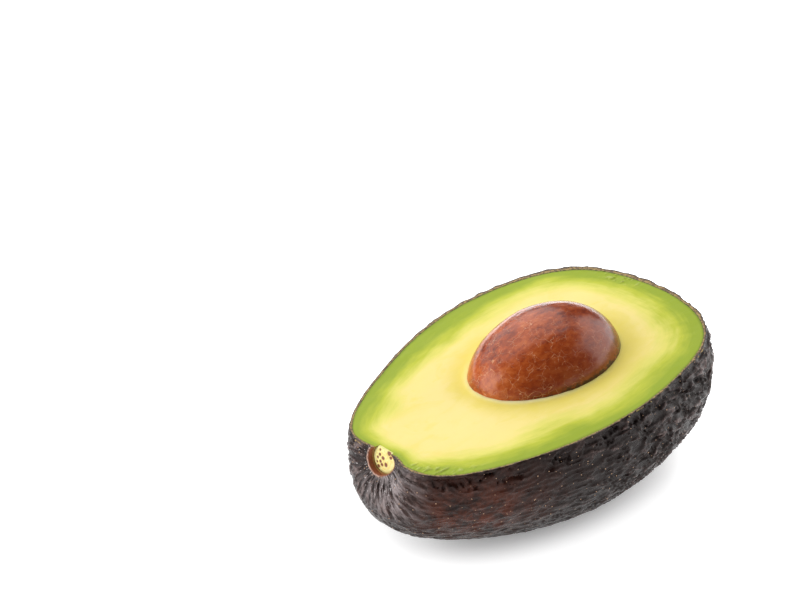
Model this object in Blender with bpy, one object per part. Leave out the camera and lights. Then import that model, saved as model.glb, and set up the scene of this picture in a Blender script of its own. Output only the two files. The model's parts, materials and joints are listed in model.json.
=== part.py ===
"""Half an avocado, cut lengthwise a little above its middle, with the seed left in its hollow.

It lies with the cut face up on a small flat spot of its skin, the stem end a little lower than the
blossom end. Four pieces make it: the pebbled peel, the flesh, the seed, and the plug of stem that
stayed in the thin end.

The fruit's own frame has X from the stem end to the blossom end, Y across the cut face and Z square
to it, with the cut face at Z = 0. Each skin is a flat grid that is wrapped over the lower part of a
unit ball, up to the knife's plane, and then stretched to the fruit's shape by skin_points().
"""

import math

import bmesh
import bpy
import numpy as np

# Outer form, in metres. The ball's -X pole is the stem end, its +X pole the blossom end.
LENGTH = 0.100
WIDTH_SERIES = (0.732, -0.138, 0.103, -0.011, 0.027)  # half width over half length, cosine orders 0-4
LOPSIDED = (0.023, -0.113, -0.042)                    # share of the half width, by powers of "along"
DEPTH_RATIO = 1.024                                   # depth over width at the middle
DEPTH_TAPER = 0.134                                   # deeper than that towards the stem end
AXIS_DEPTH = 0.0055                                   # the fruit's axis lies below the knife's cut
AXIS_TILT = -0.0036                                   # and comes nearer to it at the stem end
END_REACH = 0.90                                      # radians of the stem end that lean as one
END_LEAN = (-0.029, 0.253)                            # lean of the stem end, across and downwards
DIMPLE_DEPTH = 0.0038                                 # hollow round the stem
DIMPLE_REACH = 0.289                                  # its radius, in radians of the ball

# Pebbles of the skin.
PEBBLE_PITCH = 0.0052
PEBBLE_RADIUS = (0.0026, 0.0033)
PEBBLE_HEIGHT = (0.00055, 0.00095)
PEBBLE_SINK = 0.0004                                  # the creases lie this deep under the smooth skin
PEBBLE_TRIES = 9000
PEBBLE_SEED = 41
CALM_NEAR_STEM = (0.006, 0.020)                       # pebbles grow between these distances
CALM_NEAR_SPOT = (0.006, 0.013)
STEM_CALM = 0.15                                      # share of their height left beside the stem

# Layers, seed and stem.
PEEL = 0.0010
GAP = 0.0003
SEED_CENTRE = (0.0065, 0.0003, -0.0018)
SEED_RADII = (0.0211, 0.0154, 0.0144)
SEED_TURN = math.radians(-2.5)
SEED_BLUNT = 0.06                                     # fuller at the blossom side, leaner at the other
STEM_RADIUS = 0.0038
STEM_RECESS = 0.0012                                  # its broken face lies this deep in the dimple
STEM_LENGTH = 0.0030
STEM_CROWN = 0.0004

# How it lies.
STEM_DIP = math.radians(5.5)
SPOT_DEPTH = 0.0006

# Fineness of the meshes.
PEEL_CELLS = (78, 57)
LINING_CELLS = (26, 19)
SEED_LEVELS = 4
STEM_SIDES = 32

UP = np.array((math.sin(STEM_DIP), 0.0, math.cos(STEM_DIP)))


def unit(vectors):
    """Rows of vectors scaled to length one."""
    return vectors / np.linalg.norm(vectors, axis=1, keepdims=True)


def ramp(values, limits):
    """0 below the first limit, 1 above the second, with a smooth rise between them."""
    low, high = limits
    share = np.clip((values - low) / (high - low), 0.0, 1.0)
    return share * share * (3.0 - 2.0 * share)


def skin_points(ball):
    """Points of the smooth skin, in metres, for points of the unit ball."""
    along = -ball[:, 0]
    angle = np.arccos(np.clip(along, -1.0, 1.0))
    ring = np.maximum(np.sin(angle), 1e-9)
    half = 0.5 * LENGTH * sum(share * np.cos(order * angle) for order, share in enumerate(WIDTH_SERIES))
    lean = sum(share * along ** power for power, share in enumerate(LOPSIDED))
    across = half * (ball[:, 1] + lean * ball[:, 1] ** 2 / ring)
    below = half * (DEPTH_RATIO + DEPTH_TAPER * along) * ball[:, 2]
    tip = np.exp(-(angle / END_REACH) ** 2)
    dimple = DIMPLE_DEPTH * np.exp(-(angle / DIMPLE_REACH) ** 2)
    length = -0.5 * LENGTH * along + dimple + tip * (END_LEAN[0] * across + END_LEAN[1] * below)
    height = below - AXIS_DEPTH - AXIS_TILT * along
    return np.stack((length, across, height), axis=1)


def skin_normals(ball, step=1e-4):
    """Outward normals of the smooth skin at points of the unit ball."""
    helper = np.where(np.abs(ball[:, 2:3]) < 0.9, (0.0, 0.0, 1.0), (1.0, 0.0, 0.0))
    first = unit(np.cross(helper, ball))
    second = np.cross(ball, first)
    slopes = []
    for side in (first, second):
        ahead = skin_points(unit(ball + step * side))
        behind = skin_points(unit(ball - step * side))
        slopes.append(ahead - behind)
    return unit(np.cross(slopes[0], slopes[1]))


def spread_ball(count):
    """Evenly spread points of the unit ball, along a spiral."""
    index = np.arange(count)
    height = 1.0 - 2.0 * (index + 0.5) / count
    turn = index * math.pi * (3.0 - math.sqrt(5.0))
    ring = np.sqrt(1.0 - height ** 2)
    return np.stack((ring * np.cos(turn), ring * np.sin(turn), height), axis=1)


STEM_POLE = skin_points(np.array([[-1.0, 0.0, 0.0]]))[0]
STEM_AXIS = unit(np.array([[-1.0, *END_LEAN]]))[0]    # out of the fruit
LOWEST = min(skin_points(spread_ball(40000)), key=lambda point: point @ UP)


def pebble_field():
    """Middles, radii and heights of the pebbles: seeded darts that keep a pitch apart."""
    draws = np.random.default_rng(PEBBLE_SEED)
    places = skin_points(unit(draws.normal(size=(PEBBLE_TRIES, 3))))
    middles = []
    for place in places[places[:, 2] < PEBBLE_PITCH]:
        if not middles or np.linalg.norm(np.array(middles) - place, axis=1).min() > PEBBLE_PITCH:
            middles.append(place)
    middles = np.array(middles)
    radii = draws.uniform(*PEBBLE_RADIUS, size=len(middles))
    heights = draws.uniform(*PEBBLE_HEIGHT, size=len(middles))
    return middles, radii, heights


PEBBLES = pebble_field()


def pebble_relief(points):
    """Height of the pebbled skin over the smooth one: each pebble is a low dome, parted by creases."""
    middles, radii, heights = PEBBLES
    apart = np.linalg.norm(points[:, None, :] - middles[None, :, :], axis=2)
    domes = heights * np.clip(1.0 - (apart / radii) ** 2, 0.0, None)
    from_stem = np.linalg.norm(points - STEM_POLE, axis=1)
    from_spot = np.linalg.norm(points - LOWEST, axis=1)
    stem_share = STEM_CALM + (1.0 - STEM_CALM) * ramp(from_stem, CALM_NEAR_STEM)
    raised = domes.max(axis=1) - PEBBLE_SINK
    return raised * stem_share * ramp(from_spot, CALM_NEAR_SPOT)


def layer_points(ball, inset, pebbled):
    """Points of a layer that runs a set depth under the skin, flat over the resting spot."""
    smooth = skin_points(ball)
    raised = pebble_relief(smooth) if pebbled else 0.0
    points = smooth + skin_normals(ball) * np.reshape(raised - inset, (-1, 1))
    floor = LOWEST @ UP + SPOT_DEPTH + inset
    lift = np.maximum(floor - points @ UP, 0.0)
    return points + lift[:, None] * UP


def disc_angles(square):
    """Radius and turn on a unit disc for points of the square from -1 to 1: squares become rings."""
    x, y = square[:, 0], square[:, 1]
    radius = np.maximum(np.abs(x), np.abs(y))
    safe = np.maximum(radius, 1e-12)
    wide = np.abs(x) >= np.abs(y)
    quarter = math.pi / 4.0
    turn_wide = quarter * y / safe * np.sign(x) + np.where(x < 0.0, math.pi, 0.0)
    turn_tall = 2.0 * quarter * np.sign(y) - quarter * x / safe * np.sign(y)
    return radius, np.where(wide, turn_wide, turn_tall)


def ball_points(fall, turn):
    """Points of the unit ball, by their angle up from straight down and their turn about it."""
    ring = np.sin(fall)
    return np.stack((ring * np.cos(turn), ring * np.sin(turn), -np.cos(fall)), axis=1)


def wrap_places(square, inset, pebbled):
    """Places on a layer for points of the square, whose edge lands on the knife's plane."""
    radius, turn = disc_angles(square)
    low = np.full(len(turn), math.radians(50.0))
    high = np.full(len(turn), math.radians(150.0))
    for _ in range(30):
        middle = 0.5 * (low + high)
        below = layer_points(ball_points(middle, turn), inset, pebbled)[:, 2] < 0.0
        low = np.where(below, middle, low)
        high = np.where(below, high, middle)
    points = layer_points(ball_points(radius * low, turn), inset, pebbled)
    points[radius > 1.0 - 1e-6, 2] = 0.0
    return points


def add_layer(mesh, cells, inset, pebbled, outward):
    """Add one wrapped grid to a mesh.

    Returns:
        The edges of its rim, which lie on the knife's plane.
    """
    grid = bmesh.ops.create_grid(mesh, x_segments=cells[0], y_segments=cells[1], size=1.0)
    square = np.array([vert.co[:2] for vert in grid["verts"]])
    for vert, place in zip(grid["verts"], wrap_places(square, inset, pebbled)):
        vert.co = place
    faces = {face for vert in grid["verts"] for face in vert.link_faces}
    bmesh.ops.triangulate(mesh, faces=list(faces))
    edges = {edge for vert in grid["verts"] for edge in vert.link_edges}
    faces = {face for vert in grid["verts"] for face in vert.link_faces}
    if outward:
        bmesh.ops.reverse_faces(mesh, faces=list(faces))
    return [edge for edge in edges if edge.is_boundary]


def add_object(name, mesh, material, home, sharp_angle=math.radians(40.0)):
    """Make a named object of a bmesh, smooth shaded but for its sharp edges."""
    data = bpy.data.meshes.new(name)
    mesh.to_mesh(data)
    mesh.free()
    data.shade_smooth()
    data.set_sharp_from_angle(angle=sharp_angle)
    if material is not None:
        data.materials.append(material)
    piece = bpy.data.objects.new(name, data)
    bpy.context.scene.collection.objects.link(piece)
    piece.parent = home
    return piece


def add_material(name, colour, roughness):
    """Plain opaque finish in a colour of linear red, green and blue."""
    material = bpy.data.materials.new(name)
    material.use_nodes = True
    shader = material.node_tree.nodes["Principled BSDF"]
    shader.inputs["Base Color"].default_value = (*colour, 1.0)
    shader.inputs["Roughness"].default_value = roughness
    shader.inputs["Metallic"].default_value = 0.0
    return material


def stem_mesh(radius, bottom, top, crown):
    """Round bar on the stem's axis, from bottom to top, with a crowned outer face."""
    mesh = bmesh.new()
    bmesh.ops.create_cone(
        mesh, cap_ends=True, segments=STEM_SIDES, radius1=radius, radius2=radius, depth=top - bottom
    )
    outer = max(mesh.faces, key=lambda face: face.calc_center_median().z)
    inner_ring = bmesh.ops.inset_region(mesh, faces=[outer], thickness=0.45 * radius, depth=0.0)
    for face in inner_ring["faces"] + [outer]:
        face.smooth = True
    for vert in outer.verts:
        vert.co.z += crown
    side = np.cross((0.0, 0.0, 1.0), STEM_AXIS)
    side /= np.linalg.norm(side)
    frame = np.stack((side, np.cross(STEM_AXIS, side), STEM_AXIS), axis=1)
    middle = STEM_POLE + STEM_AXIS * 0.5 * (bottom + top)
    for vert in mesh.verts:
        vert.co = middle + frame @ np.array(vert.co)
    return mesh


def seed_mesh(extra):
    """The seed, or with extra the hollow that holds it: a ball drawn out and blunt at one end."""
    mesh = bmesh.new()
    bmesh.ops.create_icosphere(mesh, subdivisions=SEED_LEVELS, radius=1.0)
    cosine, sine = math.cos(SEED_TURN), math.sin(SEED_TURN)
    for vert in mesh.verts:
        x, y, z = vert.co
        girth = 1.0 + SEED_BLUNT * x * (1.0 - x * x)
        local = np.array((x, y * girth, z * girth)) * (np.array(SEED_RADII) + extra)
        turned = (local[0] * cosine - local[1] * sine, local[0] * sine + local[1] * cosine, local[2])
        vert.co = np.array(SEED_CENTRE) + turned
    return mesh


def add_cutter(name, mesh, home):
    """Guide solid for a Boolean, left out of renders."""
    cutter = add_object(name, mesh, None, home)
    cutter.hide_render = True
    cutter.display_type = "WIRE"
    return cutter


def cut_away(piece, cutter):
    """Leave room in a piece for what the cutter stands for."""
    cut = piece.modifiers.new(cutter.name, "BOOLEAN")
    cut.operation = "DIFFERENCE"
    cut.solver = "EXACT"
    cut.object = cutter


def build_peel(home):
    """Pebbled shell with its cut edge on the knife's plane."""
    mesh = bmesh.new()
    rims = add_layer(mesh, PEEL_CELLS, 0.0, True, True)
    rims += add_layer(mesh, LINING_CELLS, PEEL, False, False)
    bmesh.ops.triangle_fill(mesh, edges=rims, use_beauty=True, normal=(0.0, 0.0, 1.0))
    bmesh.ops.recalc_face_normals(mesh, faces=mesh.faces)
    return add_object("peel", mesh, add_material("dark_skin", (0.030, 0.021, 0.020), 0.45), home)


def build_flesh(home):
    """Flesh that fills the peel up to the cut face."""
    mesh = bmesh.new()
    rim = add_layer(mesh, LINING_CELLS, PEEL + GAP, False, True)
    bmesh.ops.holes_fill(mesh, edges=rim, sides=0)
    bmesh.ops.recalc_face_normals(mesh, faces=mesh.faces)
    return add_object("flesh", mesh, add_material("yellow_green_flesh", (0.72, 0.70, 0.22), 0.40), home)


def build_seed(home):
    """The whole seed, also where it is sunk in the flesh."""
    finish = add_material("chestnut_seed_coat", (0.23, 0.075, 0.035), 0.38)
    return add_object("seed", seed_mesh(0.0), finish, home)


def build_stem(home):
    """Plug of stem, its top cut off by the knife."""
    mesh = stem_mesh(STEM_RADIUS, -STEM_RECESS - STEM_LENGTH, -STEM_RECESS, STEM_CROWN)
    geometry = mesh.verts[:] + mesh.edges[:] + mesh.faces[:]
    cut = bmesh.ops.bisect_plane(
        mesh, geom=geometry, dist=1e-7, plane_co=(0.0, 0.0, 0.0), plane_no=(0.0, 0.0, 1.0), clear_outer=True
    )
    edges = [item for item in cut["geom_cut"] if isinstance(item, bmesh.types.BMEdge)]
    bmesh.ops.holes_fill(mesh, edges=edges, sides=0)
    bmesh.ops.recalc_face_normals(mesh, faces=mesh.faces)
    return add_object("stem_plug", mesh, add_material("corky_stem", (0.55, 0.43, 0.13), 0.60), home)


def lay_down(home, peel):
    """Turn the fruit to the way it lies, its resting spot on Z = 0 under the middle of its box."""
    home.rotation_euler = (0.0, -STEM_DIP, 0.0)
    across = np.array((math.cos(STEM_DIP), 0.0, -math.sin(STEM_DIP)))
    points = np.array([vert.co for vert in peel.data.vertices])
    lengths = points @ across
    widths = points[:, 1]
    home.location.x = -0.5 * (lengths.min() + lengths.max())
    home.location.y = -0.5 * (widths.min() + widths.max())
    home.location.z = -(LOWEST @ UP + SPOT_DEPTH)


def main():
    """Build the half in an empty scene."""
    for old in list(bpy.data.objects):
        bpy.data.objects.remove(old, do_unlink=True)
    home = bpy.data.objects.new("half_avocado", None)
    bpy.context.scene.collection.objects.link(home)
    peel = build_peel(home)
    flesh = build_flesh(home)
    build_seed(home)
    build_stem(home)
    hollow = add_cutter("seed_hollow", seed_mesh(GAP), home)
    recess_bottom = -STEM_RECESS - STEM_LENGTH - GAP
    recess_top = DIMPLE_DEPTH + STEM_RADIUS
    recess = add_cutter("stem_recess", stem_mesh(STEM_RADIUS + GAP, recess_bottom, recess_top, 0.0), home)
    cut_away(peel, recess)
    cut_away(flesh, hollow)
    cut_away(flesh, recess)
    lay_down(home, peel)


main()
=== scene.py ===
"""The looks of half an avocado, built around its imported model.

The half lies cut face up: pebbled dark peel, green to yellow flesh, the seed in its hollow, and the
corky plug of stem in the thin end. Each piece is built in the fruit's own frame, whose X runs from the
stem end to the blossom end, Y across the cut face and Z square to it, with the cut face at Z = 0.
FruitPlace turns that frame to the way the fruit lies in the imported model.
"""

import json
import logging
import math
from dataclasses import dataclass, field
from enum import Enum
from typing import Callable

import bmesh
import bpy
import numpy as np
from mathutils import Matrix, Vector, kdtree, noise

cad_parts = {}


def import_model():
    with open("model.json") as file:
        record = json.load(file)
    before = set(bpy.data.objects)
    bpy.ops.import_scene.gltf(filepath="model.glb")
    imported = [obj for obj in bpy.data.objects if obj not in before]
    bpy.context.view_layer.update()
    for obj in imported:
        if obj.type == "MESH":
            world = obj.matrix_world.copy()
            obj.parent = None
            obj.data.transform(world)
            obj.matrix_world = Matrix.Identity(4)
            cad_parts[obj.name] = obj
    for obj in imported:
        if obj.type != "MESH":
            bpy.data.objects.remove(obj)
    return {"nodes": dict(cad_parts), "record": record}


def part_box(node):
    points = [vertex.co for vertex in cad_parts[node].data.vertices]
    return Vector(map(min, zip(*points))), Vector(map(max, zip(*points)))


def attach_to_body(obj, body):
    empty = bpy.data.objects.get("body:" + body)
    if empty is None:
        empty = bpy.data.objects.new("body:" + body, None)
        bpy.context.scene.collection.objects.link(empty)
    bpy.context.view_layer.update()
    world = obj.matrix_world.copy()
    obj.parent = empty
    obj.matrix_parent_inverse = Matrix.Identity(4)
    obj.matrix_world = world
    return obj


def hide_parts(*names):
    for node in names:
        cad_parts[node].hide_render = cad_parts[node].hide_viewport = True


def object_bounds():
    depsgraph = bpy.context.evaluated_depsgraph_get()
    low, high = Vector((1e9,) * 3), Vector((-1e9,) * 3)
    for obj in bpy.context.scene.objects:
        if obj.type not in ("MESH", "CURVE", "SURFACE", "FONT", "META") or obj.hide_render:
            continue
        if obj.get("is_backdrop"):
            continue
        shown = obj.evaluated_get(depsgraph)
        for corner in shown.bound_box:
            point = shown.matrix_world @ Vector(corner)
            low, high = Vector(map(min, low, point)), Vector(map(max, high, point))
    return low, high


MM = 0.001

Array = np.ndarray
Socket = bpy.types.NodeSocket
Triple = tuple[float, float, float]
Colour = Triple
Span = tuple[float, float]
Box = tuple[Vector, Vector]


class Pole(Enum):
    """The two ends of the fruit's axis, as the X of the unit ball."""

    STEM = -1.0
    BLOSSOM = 1.0


def unit(vectors: Array) -> Array:
    """Rows of vectors scaled to length one."""
    return vectors / np.maximum(np.linalg.norm(vectors, axis=-1, keepdims=True), 1e-12)


def ramp(values: Array, limits: Span) -> Array:
    """A smooth rise from 0 at the first limit to 1 at the second.

    Args:
        values: The numbers to map.
        limits: Where the rise starts and ends; the first may be the larger one, for a fall.

    Returns:
        The share from 0 to 1 for each number.
    """
    low, high = limits
    share = np.clip((values - low) / (high - low), 0.0, 1.0)
    return share * share * (3.0 - 2.0 * share)


def eased(values: Array, limits: Span, least: float) -> Array:
    """A smooth rise from a least share at the first limit to 1 at the second."""
    return least + (1.0 - least) * ramp(values, limits)


def lobe(turn: Array, toward: float, keen: float) -> Array:
    """A soft bell round a circle that is 1 at one turn and weakest across from it."""
    return np.exp(keen * (np.cos(turn - toward) - 1.0))


def mound(distance: Array, reach: float) -> Array:
    """A soft bell that is 1 at distance 0 and nearly gone at twice its reach."""
    return np.exp(-(distance / reach) ** 2)


def soft_noise(points: Array, pitch: float, offset: float = 0.0) -> Array:
    """Smooth noise from about -1 to 1.

    Args:
        points: Where to read it, one row each, in metres.
        pitch: Size of its lumps, in metres.
        offset: Shift that gives another pattern of the same kind.

    Returns:
        One number for each point.
    """
    scaled = points / pitch + offset
    return np.array([noise.noise(Vector(row)) for row in scaled])


def point_tree(points: Array) -> kdtree.KDTree:
    """A tree that finds the nearest of these points."""
    tree = kdtree.KDTree(len(points))
    for index, point in enumerate(points):
        tree.insert(Vector(point), index)
    tree.balance()
    return tree


def placed(name: str, data: bpy.types.ID) -> bpy.types.Object:
    """A new object of this data, linked into the scene."""
    piece = bpy.data.objects.new(name, data)
    bpy.context.scene.collection.objects.link(piece)
    return piece


@dataclass(frozen=True)
class FruitForm:
    """The smooth avocado, as sizes and the formula that makes its skin of a unit ball."""

    length: float = 0.100
    width_series: tuple[float, ...] = (0.732, -0.138, 0.103, -0.011, 0.027)
    lopsided: tuple[float, ...] = (0.023, -0.113, -0.042)
    depth_ratio: float = 1.024
    depth_taper: float = 0.134
    axis_depth: float = 0.0055
    axis_tilt: float = -0.0036
    end_reach: float = 0.90
    end_lean: Span = (-0.029, 0.253)
    dimple_depth: float = 0.0038
    dimple_reach: float = 0.289
    stem_dip: float = math.radians(5.5)
    spot_depth: float = 0.0006

    def skin(self, ball: Array) -> Array:
        """Points of the smooth skin.

        Args:
            ball: Points of the unit ball, one row each.

        Returns:
            The matching points of the skin, in metres.
        """
        along = -ball[:, 0]
        angle = np.arccos(np.clip(along, -1.0, 1.0))
        ring = np.maximum(np.sin(angle), 1e-9)
        series = sum(share * np.cos(order * angle) for order, share in enumerate(self.width_series))
        half = 0.5 * self.length * series
        lean = sum(share * along ** power for power, share in enumerate(self.lopsided))
        across = half * (ball[:, 1] + lean * ball[:, 1] ** 2 / ring)
        below = half * (self.depth_ratio + self.depth_taper * along) * ball[:, 2]
        tip = np.exp(-(angle / self.end_reach) ** 2)
        dimple = self.dimple_depth * np.exp(-(angle / self.dimple_reach) ** 2)
        slant = self.end_lean[0] * across + self.end_lean[1] * below
        far = -0.5 * self.length * along + dimple + tip * slant
        height = below - self.axis_depth - self.axis_tilt * along
        return np.stack((far, across, height), axis=1)

    def normals(self, ball: Array, step: float = 1e-4) -> Array:
        """Outward normals of the smooth skin.

        Args:
            ball: Points of the unit ball, one row each.
            step: How far apart on the ball the slope is measured.

        Returns:
            One unit vector for each point.
        """
        helper = np.where(np.abs(ball[:, 2:3]) < 0.9, (0.0, 0.0, 1.0), (1.0, 0.0, 0.0))
        first = unit(np.cross(helper, ball))
        second = np.cross(ball, first)
        slopes = []
        for side in (first, second):
            ahead = self.skin(unit(ball + step * side))
            behind = self.skin(unit(ball - step * side))
            slopes.append(ahead - behind)
        return unit(np.cross(slopes[0], slopes[1]))

    @property
    def up(self) -> Array:
        """The direction that is up where the fruit lies, in its own frame."""
        return np.array((math.sin(self.stem_dip), 0.0, math.cos(self.stem_dip)))

    def pole(self, end: Pole) -> Array:
        """The skin's point at one end of the fruit's axis."""
        return self.skin(np.array([[end.value, 0.0, 0.0]]))[0]

    @property
    def stem_frame(self) -> tuple[Array, Array, Array]:
        """The stem's sideways and upward directions, and its axis out of the fruit."""
        axis = unit(np.array((-1.0, *self.end_lean)))
        side = unit(np.cross((0.0, 0.0, 1.0), axis))
        return side, np.cross(axis, side), axis

    def lowest(self) -> Array:
        """The point of the smooth skin that comes lowest where the fruit lies."""
        points = self.skin(spread_ball(40000))
        return points[np.argmin(points @ self.up)]


def spread_ball(count: int) -> Array:
    """Evenly spread points of the unit ball, along a spiral."""
    index = np.arange(count)
    height = 1.0 - 2.0 * (index + 0.5) / count
    turn = index * math.pi * (3.0 - math.sqrt(5.0))
    ring = np.sqrt(1.0 - height ** 2)
    return np.stack((ring * np.cos(turn), ring * np.sin(turn), height), axis=1)


def ball_points(fall: Array, turn: Array) -> Array:
    """Points of the unit ball, by their angle up from straight down and their turn about it."""
    ring = np.sin(fall)
    return np.stack((ring * np.cos(turn), ring * np.sin(turn), -np.cos(fall)), axis=1)


def disc_angles(square: Array) -> tuple[Array, Array]:
    """Wrap the square from -1 to 1 onto a disc, square rings to round ones.

    Args:
        square: Points of the square, one row each.

    Returns:
        The radius and the turn on the unit disc.
    """
    x, y = square[:, 0], square[:, 1]
    radius = np.maximum(np.abs(x), np.abs(y))
    safe = np.maximum(radius, 1e-12)
    quarter = math.pi / 4.0
    turn_wide = quarter * y / safe * np.sign(x) + np.where(x < 0.0, math.pi, 0.0)
    turn_tall = 2.0 * quarter * np.sign(y) - quarter * x / safe * np.sign(y)
    return radius, np.where(np.abs(x) >= np.abs(y), turn_wide, turn_tall)


@dataclass
class SkinRelief:
    """What stands out of the smooth skin: pebbles, wavy ridges, stem folds, pits and the corky lip."""

    form: FruitForm
    pebble_pitch: float = 0.0052
    pebble_radius: Span = (0.0026, 0.0033)
    pebble_height: Span = (0.00055, 0.00095)
    pebble_sink: float = 0.0004
    pebble_tries: int = 9000
    pebble_seed: int = 41
    pebble_share: float = 0.30
    calm_near_stem: Span = (0.006, 0.020)
    calm_near_spot: Span = (0.006, 0.013)
    stem_calm: float = 0.15
    ridge_pitch: float = 0.0016
    ridge_stretch: float = 0.30
    ridge_height: float = 0.00060
    ridge_wander: float = 0.0011
    wander_pitch: float = 0.0050
    ridge_reach: float = 0.040
    ridge_mix: Triple = (1.45, 0.35, 0.05)
    ridge_level: float = 0.66
    crest_keen: float = 2.6
    dent_scale: float = 2.4
    rough_pitch: float = 0.0009
    stem_side_calm: float = 0.34
    calm_along: Span = (-0.016, 0.024)
    rim_calm: float = 0.55
    calm_under_rim: Span = (0.0002, 0.0026)
    fold_height: float = 0.00050
    fold_count: float = 17.0
    fold_sway: float = 0.12
    fold_length: float = 0.006
    fold_start: Span = (0.0042, 0.0065)
    fold_end: Span = (0.019, 0.009)
    pit_depth: float = 0.00065
    pit_pitch: float = 0.0030
    pit_band: tuple[Span, Span] = ((0.0005, 0.0012), (0.0055, 0.0034))
    pit_front: Span = (-0.012, -0.018)
    pit_end: Span = (0.020, 0.006)
    lip_radius: float = 0.0040
    lip_width: float = 0.00034
    lip_height: float = 0.00034
    lip_ragged: float = 0.45
    lip_turn: float = -0.9
    lip_inner: float = -0.004
    stem_shift: Span = (0.00027, -0.00030)
    dip_depth: float = 0.0014
    dip_reach: Span = (0.0090, 0.0038)
    stem_pole: Array = field(init=False)
    low_point: Array = field(init=False)
    pebbles: tuple[Array, Array, Array] = field(init=False)

    def __post_init__(self) -> None:
        """Work out the places that the relief is measured from, and the pebbles."""
        side, rise, _ = self.form.stem_frame
        shift = self.stem_shift[0] * side + self.stem_shift[1] * rise
        self.stem_pole = self.form.pole(Pole.STEM) + shift
        self.low_point = self.form.lowest()
        self.pebbles = self.strew_pebbles()

    def strew_pebbles(self) -> tuple[Array, Array, Array]:
        """Seeded darts on the skin that keep a pitch apart.

        Returns:
            Middles, radii and heights of the pebbles.
        """
        draws = np.random.default_rng(self.pebble_seed)
        places = self.form.skin(unit(draws.normal(size=(self.pebble_tries, 3))))
        middles = []
        for place in places[places[:, 2] < self.pebble_pitch]:
            if not middles:
                middles.append(place)
                continue
            nearest = np.linalg.norm(np.array(middles) - place, axis=1).min()
            if nearest > self.pebble_pitch:
                middles.append(place)
        radii = draws.uniform(*self.pebble_radius, size=len(middles))
        heights = draws.uniform(*self.pebble_height, size=len(middles))
        return np.array(middles), radii, heights

    def pebble_domes(self, points: Array, batch: int = 4096) -> Array:
        """Height of the highest pebble over each point."""
        middles, radii, heights = self.pebbles
        found = []
        for start in range(0, len(points), batch):
            part = points[start:start + batch]
            apart = (part ** 2).sum(1)[:, None] + (middles ** 2).sum(1)[None, :] - 2.0 * part @ middles.T
            found.append((heights * np.clip(1.0 - apart / radii ** 2, 0.0, None)).max(axis=1))
        return np.concatenate(found)

    def level_places(self, ball: Array) -> Array:
        """Places in which a step along a level line is short, so that noise makes long ridges.

        Args:
            ball: Points of the unit ball.

        Returns:
            Points in which equal distances give the ridges' pitch.
        """
        level = np.hypot(ball[:, 0], ball[:, 1])
        run = self.ridge_reach * self.ridge_stretch * np.sqrt(level) / np.maximum(level, 1e-9)
        rise = self.ridge_reach * np.arccos(np.clip(-ball[:, 2], -1.0, 1.0))
        return np.stack((run * ball[:, 0], run * ball[:, 1], rise), axis=1)

    def ridges(self, points: Array, ball: Array) -> Array:
        """Wavy ridges that run round the fruit below its rim, from about -1 to 1."""
        wander = [soft_noise(points, self.wander_pitch, 3.1 * axis + 1.7) for axis in range(3)]
        places = self.level_places(ball) + self.ridge_wander * np.stack(wander, axis=1)
        crests = self.crest(soft_noise(places, self.ridge_pitch, 0.4)) ** 1.3
        dents = soft_noise(places, self.dent_scale * self.ridge_pitch, 6.7)
        rough = soft_noise(points * (0.55, 1.0, 1.0), self.rough_pitch, 2.2)
        parts = zip(self.ridge_mix, (crests, dents, rough))
        return sum(share * part for share, part in parts) - self.ridge_level

    def crest(self, waves: Array) -> Array:
        """Narrow crests where waves pass through zero, from 0 to 1."""
        return np.clip(1.0 - self.crest_keen * np.abs(waves), 0.0, 1.0)

    def stem_places(self, points: Array) -> tuple[Array, Array, Array]:
        """Where points lie about the stem's axis.

        Returns:
            Distance from the axis, height out along it, and turn about it from straight down.
        """
        side, rise, axis = self.form.stem_frame
        offset = points - self.stem_pole
        across, upward = offset @ side, offset @ rise
        return np.hypot(across, upward), offset @ axis, np.arctan2(across, -upward)

    def folds(self, points: Array) -> Array:
        """Creases that radiate from the stem and fade out on the shoulder, from 0 to about 1."""
        radius, _, turn = self.stem_places(points)
        sway = self.fold_sway * soft_noise(points, 0.004, 9.3)
        around, outward = (turn + sway) * self.fold_count / 2.0, radius / self.fold_length
        place = np.stack((around, outward, 0.0 * radius), axis=1)
        crest = self.crest(soft_noise(place, 1.0, 5.2)) ** 1.5
        near = ramp(radius, self.fold_start) * ramp(radius, self.fold_end)
        return crest * near

    def pits(self, points: Array) -> Array:
        """Dark pits in a row under the front of the cut edge, from 0 to 1."""
        drop = -points[:, 2]
        in_band = ramp(drop, self.pit_band[0]) * ramp(drop, self.pit_band[1])
        in_front = ramp(points[:, 1], self.pit_front) * ramp(points[:, 0], self.pit_end)
        ragged = soft_noise(points * (0.75, 0.75, 1.5), self.pit_pitch, 2.4)
        ragged += 0.5 * soft_noise(points, 0.4 * self.pit_pitch, 7.4)
        return ramp(ragged, (0.02, 0.24)) * in_band * in_front

    def lip(self, points: Array) -> Array:
        """The corky lip round the recess of the stem, from 0 to 1, with a ragged crest."""
        radius, height, turn = self.stem_places(points)
        ragged = 1.0 + self.lip_ragged * soft_noise(points, 0.0011, 4.4)
        fuller = 0.5 + 0.5 * np.cos(turn - self.lip_turn)
        ring = mound(radius - self.lip_radius, self.lip_width)
        return ring * ragged * fuller * (height > self.lip_inner)

    def dip(self, points: Array) -> Array:
        """How far the skin beside the stem sinks in toward the plug on its front side, from 0 to 1."""
        radius, _, turn = self.stem_places(points)
        return ramp(radius, self.dip_reach) * lobe(turn, 0.5 * math.pi, 2.2)

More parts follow.
